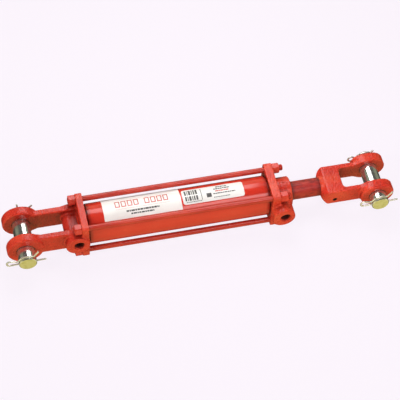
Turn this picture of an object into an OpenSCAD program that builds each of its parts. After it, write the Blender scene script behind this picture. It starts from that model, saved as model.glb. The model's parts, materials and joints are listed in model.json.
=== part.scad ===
// Tie-rod hydraulic cylinder with a clevis and pin at each end, shown fully retracted.
// +X runs from the base clevis to the rod clevis, Y lies along both clevis pins, +Z is up.
// The origin is the centre of the base clevis pin. All lengths are in millimetres.

/* [Overall] */
// distance between the two clevis pins with the rod fully in
pin_pitch = 514.35; // [500:0.05:560]
// travel of the rod from fully in to fully out
stroke = 203.2; // [150:0.1:203.2]

/* [Barrel and rod] */
// inside diameter of the barrel tube
bore_d = 50.8; // [50:0.1:52]
// outside diameter of the barrel tube
barrel_od = 57.15; // [56:0.05:60]
// diameter of the piston rod
rod_d = 27; // [25:0.1:28]

/* [Square ends and tie rods] */
// side of the square flange at each end of the barrel
flange_w = 66; // [66:0.5:72]
// thickness of the base flange
base_flange_t = 10; // [8:0.5:12]
// thickness of the rod-end flange
head_flange_t = 12.2; // [10:0.1:14]
// corner radius of both square flanges
flange_r = 4; // [2:0.5:6]
// distance of each tie rod from the two centre planes
tie_pos = 25.8; // [25.5:0.1:26.5]
// shank diameter of a tie rod
tie_shank_d = 8; // [7:0.1:8.6]
// thread diameter at the ends of a tie rod
tie_thread_d = 9.5; // [9:0.1:9.6]
// width across flats of a tie-rod nut
nut_af = 14.3; // [13:0.1:14.3]
// thickness of a tie-rod nut
nut_t = 10; // [8:0.5:10.5]

/* [Base clevis] */
// outside radius of a base clevis eye
base_eye_r = 26; // [24:0.5:28]
// overall width across the base clevis eyes
base_eye_w = 60; // [58:0.5:61]
// width of the gap between the base clevis arms
base_gap = 33; // [31:0.5:34]
// thickness of a base clevis arm between the eye and the flange
base_arm_t = 9; // [8:0.5:10]
// height of the base clevis arms
base_arm_h = 33.4; // [30:0.1:35]

/* [Rod clevis] */
// outside radius of a rod clevis eye, top and bottom
rod_eye_r = 20; // [19:0.5:22]
// how far each rod clevis eye is stretched to either side of its pin
rod_eye_stretch = 5; // [3:0.5:6]
// overall width across the rod clevis eyes
rod_eye_w = 65; // [60:0.5:66]
// width of the gap between the rod clevis arms
rod_gap = 34; // [32:0.5:35]
// overall width of the rod clevis body
rod_body_w = 48.6; // [46:0.1:50]
// height of the rod clevis body
rod_body_h = 27; // [26:0.5:30]
// length of the solid block of the rod clevis, from its back to the slot
rod_block_l = 32; // [30:0.5:34]

/* [Pins and clips] */
// diameter of both clevis pins
pin_d = 25.4; // [25:0.1:25.6]
// length of both clevis pins
pin_l = 88.9; // [88:0.1:90]
// wire diameter of the hairpin clips
wire_d = 2.5; // [2.2:0.1:2.7]

/* [Ports] */
// diameter of the threaded hole in each port
port_d = 14.8; // [14:0.1:15.5]
// outside diameter of the round boss round each port
port_boss_d = 34.4; // [33:0.1:35]

/* [Hidden] */
$fn = 64;
red = [0.77, 0.17, 0.11];
dark_red = [0.66, 0.13, 0.09];
zinc = [0.78, 0.79, 0.76];
steel = [0.62, 0.63, 0.64];
black = [0.1, 0.1, 0.11];
white = [0.93, 0.92, 0.9];
bronze = [0.66, 0.5, 0.27];
tan_fibre = [0.72, 0.62, 0.45];
eps = 0.05;
run = 0.05;

// stations along X
base_flange_x = 80;
base_face_x = base_flange_x + base_flange_t;
land_t = 2.2;
tube_x0 = base_face_x + land_t;
cap_spigot_l = 13.8;
cap_end_x = tube_x0 + cap_spigot_l;
piston_x0 = cap_end_x + 5;
piston_l = 25.4;
head_in_x = piston_x0 + piston_l + stroke + 1.8;
head_spigot_l = 11.8;
tube_x1 = head_in_x + head_spigot_l;
head_back_x = tube_x1 + land_t;
head_face_x = head_back_x + head_flange_t;
gland_x = head_face_x + 21.9;
clevis_x = pin_pitch - 80.35;
slot_x = clevis_x + rod_block_l;
screw_x = clevis_x + 19;
screw_z = -5;
screw_r = 3.2;

// barrel, spigots and rod
bore_r = bore_d / 2;
barrel_r = barrel_od / 2;
rod_r = rod_d / 2;
rod_end_r = 12;
rod_thread_l = 25;
land_r = barrel_r - 1.4;
spigot_r = bore_r - 0.1;
groove_r = bore_r - 2.4;
cap_groove_x = tube_x0 + 4;
head_groove_x = head_in_x + 3.4;
groove_l = 4.4;
gland_r = 22.2;
cap_recess_r = 19;
passage_r = 6;

// gland pieces: start along X, length, and outside radius of each seat
bushing_x = head_in_x + 2;
bushing_l = 26;
bushing_r = rod_r + 3;
seal_x = head_in_x + 33;
seal_l = 7;
seal_r = rod_r + 3.8;
wiper_l = 5;

// piston: its seats along X and their inside radii
piston_hole_r = 9.5;
lock_nut_l = 14;
lock_nut_af = 28.6;
piston_seal_x = piston_x0 + 3.5;
piston_seal_l = 6;
piston_seal_r = bore_r - 5.1;
wear_ring_x = piston_x0 + 13.5;
wear_ring_l = 8;
wear_ring_r = bore_r - 2.5;
piston_oring_x = piston_x0 + 16;
piston_oring_l = 2.6;
piston_oring_r = 11.2;

// pins and clips
pin_r = pin_d / 2;
eye_hole_r = pin_r + 0.08;
wire_r = wire_d / 2;
clip_hole_r = wire_r + 0.3;
clip_y = pin_l / 2 - 3.6;
base_pin_y = -7.55;
rod_pin_y = -4.05;
pin_tilt = 4;

// tie rods, with the length of stud that shows past the head nuts
tie_r = tie_shank_d / 2;
tie_thread_r = tie_thread_d / 2;
tie_hole_r = tie_thread_r + 0.25;
stud_l = 4.6;

// ports: centres along X, and the level of each mouth along Y
port_r = port_d / 2;
boss_r = port_boss_d / 2;
oil_hole_r = 5.5;
base_port_x = 75.2;
base_boss_x = 73.5;
base_port_y = -36.5;
head_port_x = head_face_x + 5.4;
head_boss_x = head_face_x + 2.4;
head_port_y = -45.7;

// base clevis web, with a round front edge
web_x = 57.5;
web_r = 9;

// labels: start and end along X, and start and end angle from the top towards -Y
name_label_x = [tube_x0 + 22.8, tube_x0 + 134.8];
name_label_a = [-56, 38];
data_label_x = [tube_x0 + 137.3, tube_x1 - 34.2];
data_label_a = [-24, 27];

// points along a circular arc in a plane
function arc(cx, cy, r, a0, a1, n) =
    [for (i = [0:n]) [cx + r * cos(a0 + (a1 - a0) * i / n), cy + r * sin(a0 + (a1 - a0) * i / n)]];

// cylinder lying along +X from x0 to x1
module bar_x(x0, x1, r) {
    translate([x0, 0, 0])
        rotate([0, 90, 0])
            cylinder(h = x1 - x0, r = r);
}

// ring round the X axis from x0 to x1
module ring_x(x0, x1, r_out, r_in) {
    difference() {
        bar_x(x0, x1, r_out);
        bar_x(x0 - 1, x1 + 1, r_in);
    }
}

// cylinder lying along Y from y0 up to y1, radii given at each end
module bar_y(y0, y1, r0, r1) {
    translate([0, y0, 0])
        rotate([-90, 0, 0])
            cylinder(h = y1 - y0, r1 = r0, r2 = r1);
}

// places its child at each of the four tie rods
module at_ties() {
    for (sy = [-1, 1], sz = [-1, 1])
        translate([0, sy * tie_pos, sz * tie_pos])
            children();
}

// square plate with rounded corners, from x0 to x1
module square_flange(x0, x1) {
    w = flange_w / 2;
    c = w - flange_r;
    translate([x0, 0, 0])
        rotate([90, 0, 90])
            linear_extrude(x1 - x0)
                polygon(concat(
                    arc(c, c, flange_r, 0, 90, 6), arc(-c, c, flange_r, 90, 180, 6),
                    arc(-c, -c, flange_r, 180, 270, 6), arc(c, -c, flange_r, 270, 360, 6)));
}

// seat for an O-ring and its back-up ring, cut round a spigot
module seal_groove(x0) {
    ring_x(x0, x0 + groove_l, bore_r + 2, groove_r);
}

// one base clevis eye on the +Y side, with an outer chamfer
module base_eye() {
    y0 = base_gap / 2;
    y1 = base_eye_w / 2;
    bar_y(y0, y1 - 1.6, base_eye_r, base_eye_r);
    bar_y(y1 - 1.6, y1, base_eye_r, base_eye_r - 1.6);
}

// base clevis arm on the +Y side, seen from above
module base_arm() {
    y0 = base_gap / 2;
    y1 = y0 + base_arm_t;
    h = base_arm_h / 2;
    translate([0, 0, -h])
        linear_extrude(2 * h)
            polygon([[14, y0], [base_flange_x + 1, y0], [base_flange_x + 1, y1 + 2],
                [base_flange_x - 13, y1 + 2], [base_flange_x - 22, y1 + 0.4], [14, y1]]);
}

// round port boss on the -Y side, from its mouth at y0 back to y1, with its centre at x = 0
module port_boss(y0, y1) {
    bar_y(y0 + 1.2, y1, boss_r, boss_r);
    bar_y(y0, y0 + 1.2, boss_r - 1.2, boss_r);
}

// threaded hole of a port whose mouth is at y0, with its lead-in and the oil hole behind it up to y1
module port_hole(y0, y1) {
    bar_y(y0 - 1, y0 + 18.5, port_r, port_r);
    bar_y(y0 - 0.01, y0 + 1.5, port_r + 1.5, port_r);
    bar_y(y0 + 18, y1, oil_hole_r, oil_hole_r);
}

// casting at the base: clevis, port boss, square flange and the spigot inside the barrel
module base_cap() {
    web_back_x = web_x + web_r;
    color(red)
    difference() {
        union() {
            for (m = [0, 1])
                mirror([0, m, 0]) {
                    base_eye();
                    base_arm();
                }
            translate([web_back_x, 0, 0])
                bar_y(-base_gap / 2 - 1, base_gap / 2 + 1, web_r, web_r);
            translate([web_back_x, -base_gap / 2 - 1, 0.4 - web_r])
                cube([base_flange_x + 1 - web_back_x, base_gap + 2, 2 * web_r - 0.8]);
            square_flange(base_flange_x, base_face_x);
            translate([base_boss_x, 0, 0]) port_boss(base_port_y, -base_gap / 2 - 2);
            bar_x(base_face_x - 1, tube_x0, land_r);
            bar_x(base_face_x - 1, cap_end_x, spigot_r);
        }
        bar_y(-50, 50, eye_hole_r, eye_hole_r);
        at_ties() bar_x(base_flange_x - 5, base_face_x + 5, tie_hole_r);
        translate([base_port_x, 0, 0]) port_hole(base_port_y, 3);
        bar_x(base_port_x - passage_r, tube_x0 + 2, passage_r);
        bar_x(tube_x0 + 1, cap_end_x + 5, cap_recess_r);
        seal_groove(cap_groove_x);
    }
}

// barrel tube
module barrel() {
    color(red)
        ring_x(tube_x0, tube_x1, barrel_r, bore_r);
}

// casting at the rod end: square flange, gland and port boss, with the spigot inside the barrel
module rod_end_head() {
    color(red)
    difference() {
        union() {
            square_flange(head_back_x, head_face_x);
            bar_x(tube_x1, head_back_x + 1, land_r);
            bar_x(head_in_x, head_back_x + 1, spigot_r);
            bar_x(head_face_x - 1, gland_x - 1.2, gland_r);
            translate([gland_x - 1.2, 0, 0])
                rotate([0, 90, 0])
                    cylinder(h = 1.2, r1 = gland_r, r2 = gland_r - 1.2);
            intersection() {
                translate([head_boss_x, 0, 0]) port_boss(head_port_y, -16.5);
                translate([head_back_x, -60, -30]) cube([60, 60, 60]);
            }
        }
        bar_x(head_in_x - 5, gland_x + 5, rod_r + 0.3);
        bar_x(bushing_x, bushing_x + bushing_l, bushing_r);
        bar_x(seal_x, seal_x + seal_l, seal_r);
        bar_x(gland_x - wiper_l, gland_x + 5, seal_r);
        at_ties() bar_x(head_back_x - 5, head_face_x + 5, tie_hole_r);
        translate([head_port_x, 0, 0]) port_hole(head_port_y, -19);
        translate([0, -20, 0]) bar_x(head_in_x - 5, head_port_x, 2);
        seal_groove(head_groove_x);
    }
}

// tie rod on the given sides of the two centre planes
module tie_rod(sy, sz) {
    stud_x = head_face_x + nut_t + stud_l;
    color(red)
    translate([0, sy * tie_pos, sz * tie_pos]) {
        bar_x(base_flange_x - nut_t - 1, base_face_x + 3, tie_thread_r);
        bar_x(base_face_x + 3, head_back_x - 3, tie_r);
        bar_x(head_back_x - 3, stud_x, tie_thread_r);
        translate([stud_x, 0, 0])
            rotate([0, 90, 0])
                cylinder(h = 1, r1 = tie_thread_r, r2 = tie_thread_r - 1);
    }
}

// one hexagon nut standing on the XY plane, with both faces chamfered
module hex_nut() {
    flat_r = nut_af / 2;
    difference() {
        intersection() {
            rotate([0, 0, 30])
                cylinder(h = nut_t, r = nut_af / sqrt(3), $fn = 6);
            union() {
                cylinder(h = 1.2, r1 = flat_r, r2 = flat_r + 1.4);
                translate([0, 0, 1.2])
                    cylinder(h = nut_t - 2.4, r = flat_r + 1.4);
                translate([0, 0, nut_t - 1.2])
                    cylinder(h = 1.2, r1 = flat_r + 1.4, r2 = flat_r);
            }
        }
        translate([0, 0, -1])
            cylinder(h = nut_t + 2, r = tie_thread_r + run);
    }
}

// one nut on each tie rod, starting at x0
module nuts_at(x0) {
    at_ties()
        translate([x0, 0, 0])
            rotate([0, 90, 0])
                hex_nut();
}

// nuts on the outer side of the base flange
module base_nuts() {
    color(dark_red) nuts_at(base_flange_x - nut_t);
}

// nuts on the outer side of the rod-end flange
module head_nuts() {
    color(dark_red) nuts_at(head_face_x);
}

// static O-ring in the first part of a spigot groove
module spigot_oring(x0) {
    color(black) ring_x(x0 + run, x0 + 2.7, bore_r - run, groove_r + run);
}

// back-up ring in the rest of a spigot groove
module spigot_backup_ring(x0) {
    color(white) ring_x(x0 + 2.8, x0 + groove_l - run, bore_r - run, groove_r + run);
}

// bearing bush of the piston rod inside the gland
module rod_bushing() {
    color(bronze) ring_x(bushing_x + 0.1, bushing_x + bushing_l - 0.1, bushing_r - run, rod_r + run);
}

// pressure seal of the piston rod inside the gland
module rod_seal() {
    color(black) ring_x(seal_x + 0.2, seal_x + seal_l - 0.2, seal_r - run, rod_r + run);
}

// wiper at the mouth of the gland, standing a little proud of it
module rod_wiper() {
    color(black) ring_x(gland_x - wiper_l + 0.2, gland_x + 1.4, seal_r - run, rod_r + run);
}

// thin label wrapped on the barrel over the X range xs and the angles as from the top towards -Y
module label(xs, as) {
    color(white)
    translate([xs[0], 0, 0])
        rotate([90, 0, 90])
            rotate([0, 0, 90 + as[0]])
                linear_extrude(xs[1] - xs[0])
                    polygon(concat(
                        arc(0, 0, barrel_r + 0.15, 0, as[1] - as[0], 24),
                        arc(0, 0, barrel_r + 0.02, as[1] - as[0], 0, 24)));
}

// large label near the base
module name_decal() {
    label(name_label_x, name_label_a);
}

// small label near the rod end
module data_decal() {
    label(data_label_x, data_label_a);
}

// ring filling a piston groove that starts at x0, l long, with its floor at r_in
module piston_ring(x0, l, r_in) {
    ring_x(x0 + 0.1, x0 + l - 0.1, bore_r - 0.04, r_in + run);
}

// seal round the piston
module piston_seal() {
    color(black) piston_ring(piston_seal_x, piston_seal_l, piston_seal_r);
}

// wear ring round the piston
module piston_wear_ring() {
    color(tan_fibre) piston_ring(wear_ring_x, wear_ring_l, wear_ring_r);
}

// piston with its two outer grooves and one inner groove
module piston() {
    color(steel)
    difference() {
        bar_x(piston_x0, piston_x0 + piston_l, bore_r - 0.3);
        bar_x(piston_x0 - 1, piston_x0 + piston_l + 1, piston_hole_r);
        ring_x(piston_seal_x, piston_seal_x + piston_seal_l, bore_r + 2, piston_seal_r);
        ring_x(wear_ring_x, wear_ring_x + wear_ring_l, bore_r + 2, wear_ring_r);
        bar_x(piston_oring_x, piston_oring_x + piston_oring_l, piston_oring_r);
    }
}

// O-ring between the piston and the rod
module piston_oring() {
    color(black)
        ring_x(piston_oring_x + 0.1, piston_oring_x + piston_oring_l - 0.1,
            piston_oring_r - run, piston_hole_r);
}

// lock nut that holds the piston on the rod
module piston_nut() {
    color(steel)
    translate([piston_x0 - lock_nut_l, 0, 0])
        rotate([0, 90, 0])
            difference() {
                cylinder(h = lock_nut_l - eps, r = lock_nut_af / sqrt(3), $fn = 6);
                translate([0, 0, -1])
                    cylinder(h = lock_nut_l + 2, r = piston_hole_r);
            }
}

// piston rod: stepped end through the piston, plain rod, and the threaded end in the clevis
module piston_rod() {
    shoulder_x = piston_x0 + piston_l + eps;
    color(red) {
        bar_x(piston_x0 - lock_nut_l - 1.5, shoulder_x, piston_hole_r - run);
        bar_x(shoulder_x, clevis_x - eps, rod_r);
        bar_x(clevis_x - eps, clevis_x + rod_thread_l, rod_end_r - run);
    }
}

// outline of a rod clevis eye, seen along the pin
module rod_eye_shape() {
    polygon(concat(
        arc(rod_eye_stretch, 0, rod_eye_r, -90, 90, 24),
        arc(-rod_eye_stretch, 0, rod_eye_r, 90, 270, 24)));
}

// rod clevis: solid block, two arms and two eyes
module rod_clevis() {
    w = rod_body_w / 2;
    g = rod_gap / 2;
    h = rod_body_h / 2;
    color(red)
    difference() {
        union() {
            translate([0, 0, -h])
                linear_extrude(2 * h)
                    polygon(concat(
                        [[pin_pitch, w]], arc(clevis_x + 10, w - 8, 8, 90, 150, 5),
                        [[clevis_x, w - 12]], [[clevis_x, 12 - w]],
                        arc(clevis_x + 10, 8 - w, 8, 210, 270, 5), [[pin_pitch, -w]],
                        [[pin_pitch, -g]], arc(slot_x + 5, 5 - g, 5, 270, 180, 5),
                        arc(slot_x + 5, g - 5, 5, 180, 90, 5), [[pin_pitch, g]]));
            for (m = [0, 1])
                mirror([0, m, 0])
                    translate([pin_pitch, rod_eye_w / 2, 0])
                        rotate([90, 0, 0])
                            linear_extrude(rod_eye_w / 2 - g)
                                rod_eye_shape();
        }
        translate([pin_pitch, 0, 0]) bar_y(-50, 50, eye_hole_r, eye_hole_r);
        bar_x(clevis_x - 1, clevis_x + rod_thread_l + 2, rod_end_r);
        translate([screw_x, 0, screw_z]) bar_y(-w - 1, -8, screw_r, screw_r);
    }
}

// socket screw that locks the clevis thread
module clevis_set_screw() {
    w = rod_body_w / 2;
    color(black)
    translate([screw_x, 0, screw_z])
        difference() {
            bar_y(-w + 1.2, -rod_end_r - 0.2, screw_r - run, screw_r - run);
            translate([0, -w, 0])
                rotate([-90, 0, 0])
                    cylinder(h = 4.5, r = 1.8, $fn = 6);
        }
}

// plain clevis pin with chamfered ends; the far clip hole is turned by far_turn
module clevis_pin(far_turn) {
    l = pin_l / 2;
    color(zinc)
    difference() {
        union() {
            bar_y(-l, 1 - l, pin_r - 1, pin_r);
            bar_y(1 - l, l - 1, pin_r, pin_r);
            bar_y(l - 1, l, pin_r, pin_r - 1);
        }
        translate([0, -clip_y, 0]) bar_x(-20, 20, clip_hole_r);
        translate([0, clip_y, 0])
            rotate([0, far_turn, 0])
                bar_x(-20, 20, clip_hole_r);
    }
}

// points of a smooth bend from p to r, drawn towards q
function bend(p, q, r, n) =
    [for (i = [0:n]) let (t = i / n) (1 - t) * (1 - t) * p + 2 * t * (1 - t) * q + t * t * r];

// point of a circle round the pin
function on_hug(r, a) = [r * cos(a), r * sin(a)];

// wire with a round section of n sides along a path in the XZ plane
module wire(path, r, n) {
    m = len(path);
    rings = [for (i = [0:m - 1])
        let (d = path[min(i + 1, m - 1)] - path[max(i - 1, 0)], t = d / norm(d))
        [for (k = [0:n - 1])
            let (c = r * cos(360 * k / n))
            [path[i][0] - c * t[1], r * sin(360 * k / n), path[i][1] + c * t[0]]]];
    walls = [for (i = [0:m - 2], k = [0:n - 1])
        let (j = (k + 1) % n)
        each [[i * n + k, i * n + j, (i + 1) * n + j], [i * n + k, (i + 1) * n + j, (i + 1) * n + k]]];
    start = [[for (k = [n - 1:-1:0]) k]];
    end = [[for (k = [0:n - 1]) (m - 1) * n + k]];
    polyhedron(points = [for (ring = rings) each ring], faces = concat(start, walls, end));
}

// hairpin clip round a pin that lies along Y; its straight leg runs along X
module hairpin() {
    hug = pin_r + wire_r + 0.25;
    loop = [-24.5, 4.6];
    out = loop + 4.6 * [cos(70), sin(70)];
    turn = on_hug(hug, 157.8);
    lift = on_hug(hug, 50);
    flare = [0.64, 0.77];
    wire(concat(
        [[26.5, 0], [12, 0], [-12, 0]],
        arc(loop[0], loop[1], 4.6, 270, 70, 16),
        bend(turn + 0.3 * (out - turn), turn, on_hug(hug, 146), 6),
        arc(0, 0, hug, 140, 64, 10),
        bend(on_hug(hug, 60), lift, lift + 2.6 * flare, 6),
        [lift + 12 * flare]), wire_r, 10);
}

// places its child in the frame of the base pin
module at_base_pin() {
    translate([0, base_pin_y, 0])
        rotate([0, -pin_tilt, 0])
            children();
}

// places its child in the frame of the rod pin
module at_rod_pin() {
    translate([pin_pitch, rod_pin_y, 0])
        rotate([0, -pin_tilt, 0])
            children();
}

// pin of the base clevis, its far clip hole at a right angle to the near one
module base_pin() {
    at_base_pin() clevis_pin(90);
}

// clip at the -Y end of the base pin
module base_clip_near() {
    color(zinc) at_base_pin() translate([0, -clip_y, 0]) hairpin();
}

// clip at the +Y end of the base pin, with its straight leg pointing up
module base_clip_far() {
    color(zinc)
        at_base_pin()
            translate([0, clip_y, 0])
                rotate([0, 90, 0])
                    rotate([0, 0, 180])
                        hairpin();
}

// pin of the rod clevis
module rod_pin() {
    at_rod_pin() clevis_pin(0);
}

// clip at the -Y end of the rod pin
module rod_clip_near() {
    color(zinc) at_rod_pin() translate([0, -clip_y, 0]) hairpin();
}

// clip at the +Y end of the rod pin
module rod_clip_far() {
    color(zinc) at_rod_pin() translate([0, clip_y, 0]) hairpin();
}

base_cap();
barrel();
rod_end_head();
tie_rod(1, 1);  // tie_rod_1
tie_rod(-1, 1);  // tie_rod_2
tie_rod(-1, -1);  // tie_rod_3
tie_rod(1, -1);  // tie_rod_4
base_nuts();
head_nuts();
spigot_oring(cap_groove_x);  // cap_oring
spigot_backup_ring(cap_groove_x);  // cap_backup_ring
spigot_oring(head_groove_x);  // head_oring
spigot_backup_ring(head_groove_x);  // head_backup_ring
rod_bushing();
rod_seal();
rod_wiper();
name_decal();
data_decal();
piston_seal();
piston_wear_ring();
piston();
piston_oring();
piston_nut();
piston_rod();
rod_clevis();
clevis_set_screw();
base_pin();
base_clip_near();
base_clip_far();
rod_pin();
rod_clip_near();
rod_clip_far();
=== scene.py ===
"""Looks of a tie-rod hydraulic cylinder: cast ends, barrel, tie rods, labels, pins and clips, in metres."""

import json
import math

import bpy
import numpy as np
from mathutils import Matrix, Vector


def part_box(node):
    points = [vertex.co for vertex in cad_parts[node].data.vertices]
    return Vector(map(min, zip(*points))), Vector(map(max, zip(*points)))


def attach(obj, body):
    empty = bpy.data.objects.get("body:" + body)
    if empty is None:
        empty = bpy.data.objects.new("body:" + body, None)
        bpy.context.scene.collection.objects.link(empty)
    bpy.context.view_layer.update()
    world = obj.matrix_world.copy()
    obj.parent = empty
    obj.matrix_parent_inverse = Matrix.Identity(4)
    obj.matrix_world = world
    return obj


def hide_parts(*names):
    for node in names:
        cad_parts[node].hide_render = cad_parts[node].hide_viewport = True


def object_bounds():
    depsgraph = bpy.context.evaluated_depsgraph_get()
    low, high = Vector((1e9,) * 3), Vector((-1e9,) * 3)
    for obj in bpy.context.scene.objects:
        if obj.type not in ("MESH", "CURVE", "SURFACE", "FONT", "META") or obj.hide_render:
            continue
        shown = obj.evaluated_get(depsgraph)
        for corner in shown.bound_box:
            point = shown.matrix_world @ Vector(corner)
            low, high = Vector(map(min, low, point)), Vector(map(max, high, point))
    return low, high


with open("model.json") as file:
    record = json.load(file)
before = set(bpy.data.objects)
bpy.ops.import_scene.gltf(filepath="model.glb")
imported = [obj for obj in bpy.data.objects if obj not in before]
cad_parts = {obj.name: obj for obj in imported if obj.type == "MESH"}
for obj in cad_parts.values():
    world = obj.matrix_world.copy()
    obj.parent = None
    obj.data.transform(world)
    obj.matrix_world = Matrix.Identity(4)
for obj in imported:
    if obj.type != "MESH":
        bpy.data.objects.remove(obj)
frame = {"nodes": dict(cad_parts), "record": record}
CAD_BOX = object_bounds()
MM = 0.001

# -------- sizes taken from the frame


def low(node):
    """Lowest corner of a CAD node as an array."""
    return np.array(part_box(node)[0])


def high(node):
    """Highest corner of a CAD node as an array."""
    return np.array(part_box(node)[1])


def middle(node):
    """Centre of a CAD node's box."""
    return (low(node) + high(node)) / 2


def half_size(node):
    """Half of the lengths of a CAD node's box."""
    return (high(node) - low(node)) / 2


def mount(name):
    """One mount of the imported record."""
    return next(m for m in frame["record"]["mounts"] if m["name"] == name)


BARREL_X0, BARREL_X1 = low("barrel")[0], high("barrel")[0]
BARREL_R = high("barrel")[1]
BORE_R = high("cap_oring")[1] + 0.05 * MM
FLANGE_GAP = 2.2 * MM
SAND_HEIGHT = 0.20 * MM
SPIGOT_PLAY, SPIGOT_BORE_R, SPIGOT_BORE_LONG = 0.25 * MM, 19 * MM, 30 * MM
FLANGE_HALF = high("base_cap")[2]
FLANGE_CORNER = 4 * MM
BASE_FLANGE = (high("base_nuts")[0], BARREL_X0 - FLANGE_GAP)
HEAD_FLANGE = (BARREL_X1 + FLANGE_GAP, low("head_nuts")[0])
BASE_EYE_R = -low("base_cap")[0] + 0.02 * MM
BASE_EYE_Y = (16.5 * MM, 30 * MM)
BASE_ARM_Y = (16.5 * MM, 25.5 * MM)
BASE_ARM_HALF = 16.7 * MM
WEB_X, WEB_R = 57.5 * MM, 9 * MM
GLAND_R = 22.2 * MM
GLAND_X = high("rod_end_head")[0]
TIE_AT = middle("tie_rod_1")[1]
TIE_SIDES = ((1, 1), (-1, 1), (-1, -1), (1, -1))
TIE_THREAD_R = half_size("tie_rod_1")[1]
TIE_SHANK_R = 4 * MM
TIE_PITCH = 1.59 * MM
NUT_FLAT_R = high("head_nuts")[2] - TIE_AT
NUT_LONG = high("head_nuts")[0] - low("head_nuts")[0]
PORT_R = mount("base_port")["dims"]["r_mm"] * MM
PORT_BOSS_R = 17.2 * MM
PORT_DEEP = 18.5 * MM
PORT_PITCH = 1.41 * MM
PORT_LEAD = 0.8 * MM
PORT_PLAY = 0.9 * MM
BASE_PORT_X, BASE_BOSS_X, BASE_PORT_Y = mount("base_port")["pos_m"][0], 73.5 * MM, low("base_cap")[1]
HEAD_PORT_X, HEAD_PORT_Y = mount("rod_port")["pos_m"][0], low("rod_end_head")[1]
HEAD_BOSS_X, HEAD_BOSS_ROOT_Y = HEAD_FLANGE[1] + 2.4 * MM, -16.5 * MM
ROD_R = high("piston_rod")[1]
ROD_NECK_R, PISTON_SEAT_R = 11.9 * MM, 9.4 * MM
CAST_EDGE, CAST_ROOT = 1.8 * MM, 2.5 * MM
SINK = 2 * MM  # how far one part of a casting reaches into the next
PIN_R = high("base_pin")[0]
PIN_TILT = np.array(Matrix.Rotation(math.radians(-4), 3, "Y"))
EYE_HOLE_R = PIN_R + 0.15 * MM
WIRE_R = half_size("base_clip_near")[1] * 1.05
CLEVIS_X0 = low("rod_clevis")[0]
CLEVIS_SLOT_X = CLEVIS_X0 + 32 * MM
CLEVIS_PIN_X = mount("rod_clevis")["pos_m"][0]
CLEVIS_HALF_W, CLEVIS_CORNER = 24.3 * MM, 10.5 * MM
CLEVIS_GAP = 17 * MM
CLEVIS_EYE_Y = high("rod_clevis")[1]
CLEVIS_EYE_R = high("rod_clevis")[2]
CLEVIS_STRETCH = high("rod_clevis")[0] - CLEVIS_PIN_X - CLEVIS_EYE_R
CLEVIS_HALF_H = 13.5 * MM
CLEVIS_SLOPE = 8 * MM
SCREW = middle("clevis_set_screw")
SCREW_R = half_size("clevis_set_screw")[0]

# -------- node materials


class Nodes:
    """Short calls for the procedural nodes of one node tree."""

    def __init__(self, tree, coordinates):
        self.tree = tree
        self.place = self.add("TexCoord").outputs[coordinates]

    def add(self, kind):
        return self.tree.nodes.new("ShaderNode" + kind)

    def feed(self, socket, value):
        """Links a socket to another, or sets it to a number or a colour."""
        if isinstance(value, bpy.types.NodeSocket):
            self.tree.links.new(value, socket)
        else:
            socket.default_value = (*value, 1) if isinstance(value, (tuple, list)) else value

    def noise(self, size, detail=4.0, stretch=(1, 1, 1), rough=0.5):
        """Noise with features about size across, from 0 to 1; stretch lengthens them along an axis."""
        scale = self.add("Mapping")
        scale.inputs["Scale"].default_value = [1 / s for s in stretch]
        self.feed(scale.inputs["Vector"], self.place)
        node = self.add("TexNoise")
        node.inputs["Scale"].default_value = 1 / size
        node.inputs["Detail"].default_value = detail
        node.inputs["Roughness"].default_value = rough
        self.feed(node.inputs["Vector"], scale.outputs["Vector"])
        return node.outputs["Fac"]

    def ramp(self, value, stops):
        """Colours, or grey levels, over a value; stops are (position, colour or level)."""
        node = self.add("ValToRGB")
        band = node.color_ramp
        while len(band.elements) < len(stops):
            band.elements.new(1.0)
        for element, (at, colour) in zip(band.elements, stops):
            element.position = at
            level = colour if isinstance(colour, (tuple, list)) else (colour,) * 3
            element.color = (*level, 1)
        self.feed(node.inputs["Fac"], value)
        return node.outputs["Color"]

    def mix(self, share, a, b, kind="MIX"):
        """Blend of two colours, each a socket or a plain colour."""
        node = self.add("Mix")
        node.data_type = "RGBA"
        node.blend_type = kind
        for k, value in ((0, share), (6, a), (7, b)):
            self.feed(node.inputs[k], value)
        return node.outputs[2]

    def math(self, kind, a, b=0.0):
        node = self.add("Math")
        node.operation = kind
        self.feed(node.inputs[0], a)
        self.feed(node.inputs[1], b)
        return node.outputs[0]

    def spread(self, value, start, end, lowest=0.0, highest=1.0):
        """A value from start to end brought to the range from lowest to highest."""
        node = self.add("MapRange")
        limits = {"From Min": start, "From Max": end, "To Min": lowest, "To Max": highest}
        for name, limit in limits.items():
            node.inputs[name].default_value = limit
        self.feed(node.inputs["Value"], value)
        return node.outputs["Result"]

    def axis(self, name):
        """One of the three coordinates."""
        split = self.add("SeparateXYZ")
        self.feed(split.inputs["Vector"], self.place)
        return split.outputs[name]

    def across(self, axis, centre, width):
        """0 below centre and 1 above it along one axis, with a soft edge of that width."""
        return self.spread(self.axis(axis), centre - width / 2, centre + width / 2)

    def attribute(self, name):
        """A float attribute of the mesh."""
        node = self.add("Attribute")
        node.attribute_name = name
        return node.outputs["Fac"]


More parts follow.
